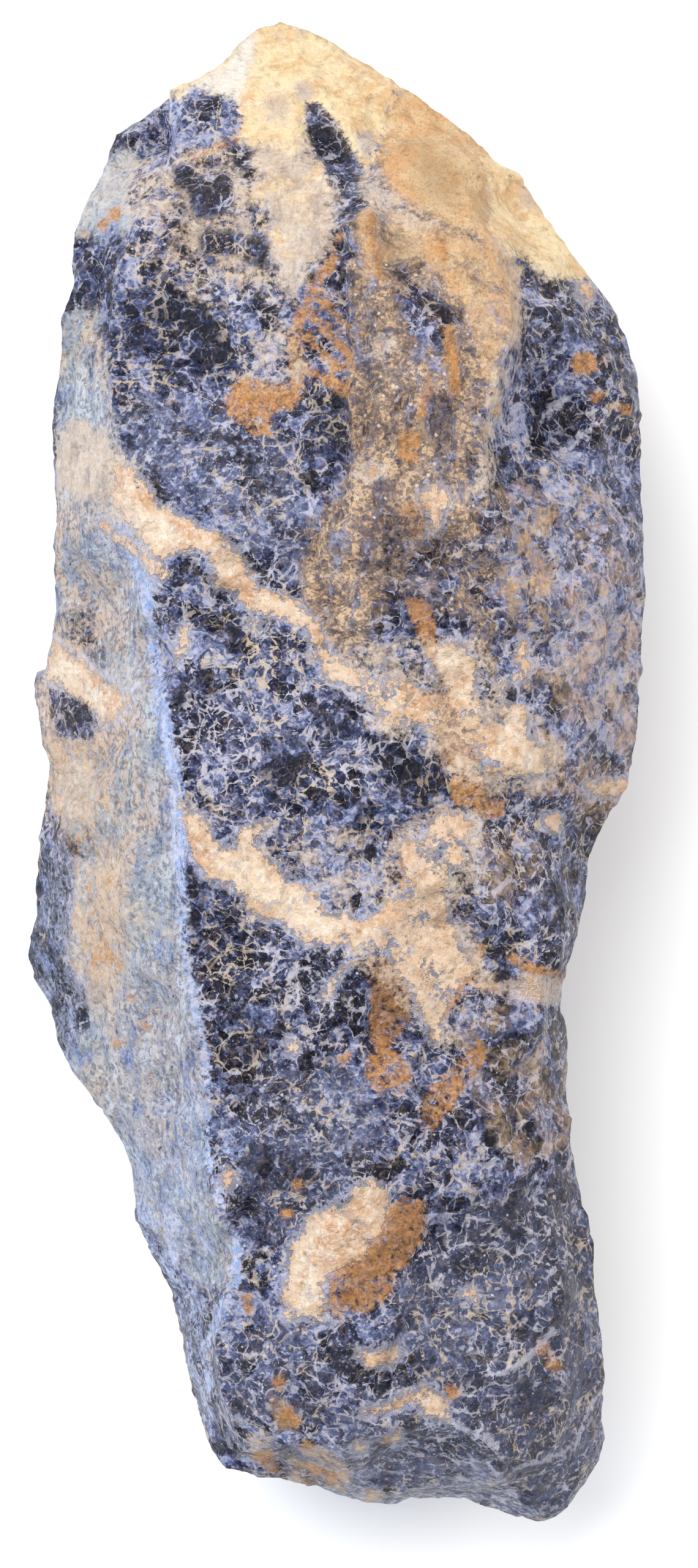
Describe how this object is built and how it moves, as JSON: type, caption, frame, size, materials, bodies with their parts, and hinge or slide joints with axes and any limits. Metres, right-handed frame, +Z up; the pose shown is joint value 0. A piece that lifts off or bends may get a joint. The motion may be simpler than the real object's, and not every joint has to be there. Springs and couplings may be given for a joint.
{
  "type": "rough stone",
  "caption": "Rough sodalite stone: a long lump with broken faces, deep blue with cream veins and a pale cap, lying flat on its back.",
  "frame": {"origin": "on the rest face, under the middle of the outline seen from above", "axes": "+Y runs the length towards the capped end, +Z up out of the broad broken face, +X to the stone's right seen from above with the cap away"},
  "size_m": [0.062, 0.151, 0.044],
  "materials": {
    "sodalite": "rough broken surface with small glassy facets"
  },
  "bodies": {
    "root": {"sodalite_stone": "sodalite"}
  },
  "joints": []
}
